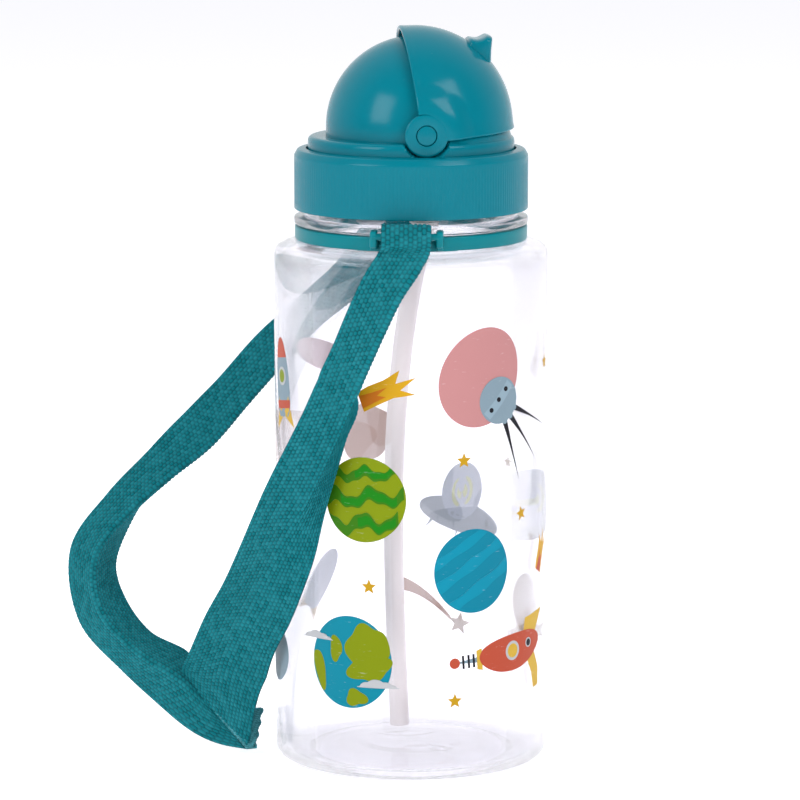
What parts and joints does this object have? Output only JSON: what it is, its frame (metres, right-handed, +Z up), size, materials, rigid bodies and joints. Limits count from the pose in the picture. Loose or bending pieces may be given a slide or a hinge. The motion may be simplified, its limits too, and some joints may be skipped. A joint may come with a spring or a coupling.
{
  "type": "kids water bottle",
  "caption": "Clear straight bottle with a domed flip lid, folding soft spout on a straw, a screw ring and a webbing carry strap on a turning neck ring",
  "frame": {"origin": "centre of the base, on the surface the bottle stands on", "axes": "+Z up along the bottle; the cover's hinge runs along Y and the spout folds down towards +X; the strap's joint lies at -X"},
  "size_m": [0.121, 0.085, 0.1884],
  "materials": {
    "clear_plastic": "gloss",
    "teal_plastic": "gloss",
    "teal_ring": "satin",
    "clear_silicone": "matte",
    "grey_silicone": "matte",
    "straw_plastic": "satin",
    "teal_webbing": "matte"
  },
  "bodies": {
    "bottle": {"bottle_shell": "clear_plastic"},
    "strap_ring": {"strap_ring": "teal_ring", "strap_front": "teal_webbing", "strap_rear": "teal_webbing", "strap_seam": "teal_webbing"},
    "lid": {"lid_core": "teal_plastic", "neck_gasket": "clear_silicone", "spout_base": "clear_silicone", "straw_adapter": "clear_silicone", "straw": "straw_plastic", "vent_valve": "grey_silicone"},
    "collar": {"screw_ring": "teal_plastic"},
    "cover": {"flip_cover": "teal_plastic"},
    "spout": {"spout_tube": "clear_silicone"}
  },
  "joints": [
    {"name": "strap_ring_turn", "type": "hinge", "parent": "bottle", "child": "strap_ring", "pos_m": [0, 0, 0.1364], "axis": [0, 0, 1], "continuous": true},
    {"name": "lid_lift", "type": "slide", "parent": "bottle", "child": "lid", "axis": [0, 0, 1], "range_m": [0, 0.0061]},
    {"name": "collar_turn", "type": "hinge", "parent": "lid", "child": "collar", "pos_m": [0, 0, 0.15], "axis": [0, 0, 1], "range_deg": [0, 540]},
    {"name": "cover_flip", "type": "hinge", "parent": "lid", "child": "cover", "pos_m": [0.0015, 0, 0.163], "axis": [0, -1, 0], "range_deg": [0, 80]},
    {"name": "spout_fold", "type": "hinge", "parent": "lid", "child": "spout", "pos_m": [0.0034, 0, 0.164], "axis": [0, -1, 0], "range_deg": [0, 54]}
  ],
  "couplings": [
    {"joint": "lid_lift", "follows": "collar_turn", "m_per_rad": 0.00063662},
    {"joint": "spout_fold", "follows": "cover_flip", "ratio": 0.625}
  ]
}
